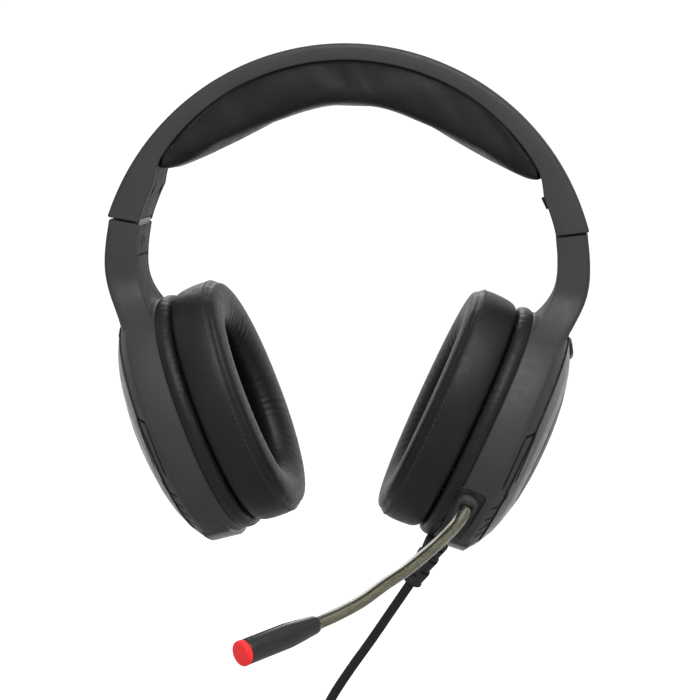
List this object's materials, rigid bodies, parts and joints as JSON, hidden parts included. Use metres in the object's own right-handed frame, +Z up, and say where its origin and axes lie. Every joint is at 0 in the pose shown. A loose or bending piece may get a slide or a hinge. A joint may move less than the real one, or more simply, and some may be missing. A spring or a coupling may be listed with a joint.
{
  "type": "gaming headset",
  "caption": "Over-ear headset with a padded sliding headband, two padded cups, a bendable microphone boom and a coiled cable on a plug.",
  "frame": {"origin": "middle of the headband cushion's underside, the face that rests on the top of the head", "axes": "+Z up, the wearer faces -Y, +X is the wearer's left, the side with the microphone and the cable"},
  "size_m": [0.1918, 0.1715, 0.4104],
  "materials": {
    "shell_plastic": "matte moulded charcoal plastic with a fine spark texture",
    "cover_plastic": "fine matte grey plastic, a little lighter than the shell",
    "dark_plastic": "matte black moulded plastic",
    "satin_plastic": "satin black plastic",
    "leatherette": "black soft-touch leatherette with a fine grain",
    "cloth": "black woven cloth",
    "steel": "brushed steel",
    "magnet": "plated magnet steel",
    "diaphragm_film": "thin amber polymer film",
    "circuit_board": "green lacquered board",
    "clear_sheath": "clear glossy tubing over an olive core",
    "boom_core": "olive jacket round the bendable wire",
    "red_cap": "translucent red tip",
    "rubber": "black moulded rubber",
    "cable_braid": "black braided cable jacket",
    "gold_plate": "gold-plated contact"
  },
  "bodies": {
    "headband": {"headband_outer_shell": "shell_plastic", "spring_band": "steel", "cushion_base_plate": "dark_plastic", "headband_cushion": "leatherette", "left_band_end_cover": "cover_plastic", "left_slider_guide": "dark_plastic", "left_detent_spring": "steel", "right_band_end_cover": "cover_plastic", "right_slider_guide": "dark_plastic", "right_detent_spring": "steel"},
    "left_cup": {"left_slider_bar": "steel", "left_arm_cover_upper": "cover_plastic", "left_arm_cover_lower": "cover_plastic", "left_cup_housing": "shell_plastic", "left_outer_plate": "shell_plastic", "left_plate_trim": "dark_plastic", "left_baffle": "dark_plastic", "left_baffle_screw_upper": "steel", "left_baffle_screw_lower": "steel", "left_driver_frame": "dark_plastic", "left_driver_magnet": "magnet", "left_driver_diaphragm": "diaphragm_film", "left_speaker_cloth": "cloth", "left_pad_skirt": "leatherette", "left_ear_pad": "leatherette", "microphone_boss": "dark_plastic", "boom_root_sleeve": "rubber", "cable_strain_relief": "rubber", "cable_lead": "cable_braid", "cable_coil": "cable_braid", "cable_tie_strap": "cloth", "cable_tail": "cable_braid", "plug_sleeve": "rubber", "plug_pin": "gold_plate", "signal_board": "circuit_board"},
    "right_cup": {"right_slider_bar": "steel", "right_arm_cover_upper": "cover_plastic", "right_arm_cover_lower": "cover_plastic", "right_cup_housing": "shell_plastic", "right_outer_plate": "shell_plastic", "right_plate_trim": "dark_plastic", "right_baffle": "dark_plastic", "right_baffle_screw_upper": "steel", "right_baffle_screw_lower": "steel", "right_driver_frame": "dark_plastic", "right_driver_magnet": "magnet", "right_driver_diaphragm": "diaphragm_film", "right_speaker_cloth": "cloth", "right_pad_skirt": "leatherette", "right_ear_pad": "leatherette"},
    "boom_lower": {"boom_sheath_lower": "clear_sheath", "boom_core_lower": "boom_core"},
    "boom_upper": {"boom_sheath_upper": "clear_sheath", "boom_core_upper": "boom_core", "microphone_capsule_shell": "satin_plastic", "microphone_cartridge": "steel", "microphone_tip_cap": "red_cap"}
  },
  "joints": [
    {"name": "left_slide", "type": "slide", "parent": "headband", "child": "left_cup", "axis": [0.3007, 0, -0.9537], "range_m": [0, 0.025]},
    {"name": "right_slide", "type": "slide", "parent": "headband", "child": "right_cup", "axis": [-0.3007, 0, -0.9537], "range_m": [0, 0.025]},
    {"name": "boom_swing", "type": "hinge", "parent": "left_cup", "child": "boom_lower", "pos_m": [0.04915, -0.05085, -0.15851], "axis": [-0.9194, -0.0732, 0.3865], "range_deg": [-30, 40]},
    {"name": "boom_bend", "type": "hinge", "parent": "boom_lower", "child": "boom_upper", "pos_m": [0.02517, -0.08679, -0.17521], "axis": [0.0751, -0.4335, 0.898], "range_deg": [-35, 35]}
  ]
}
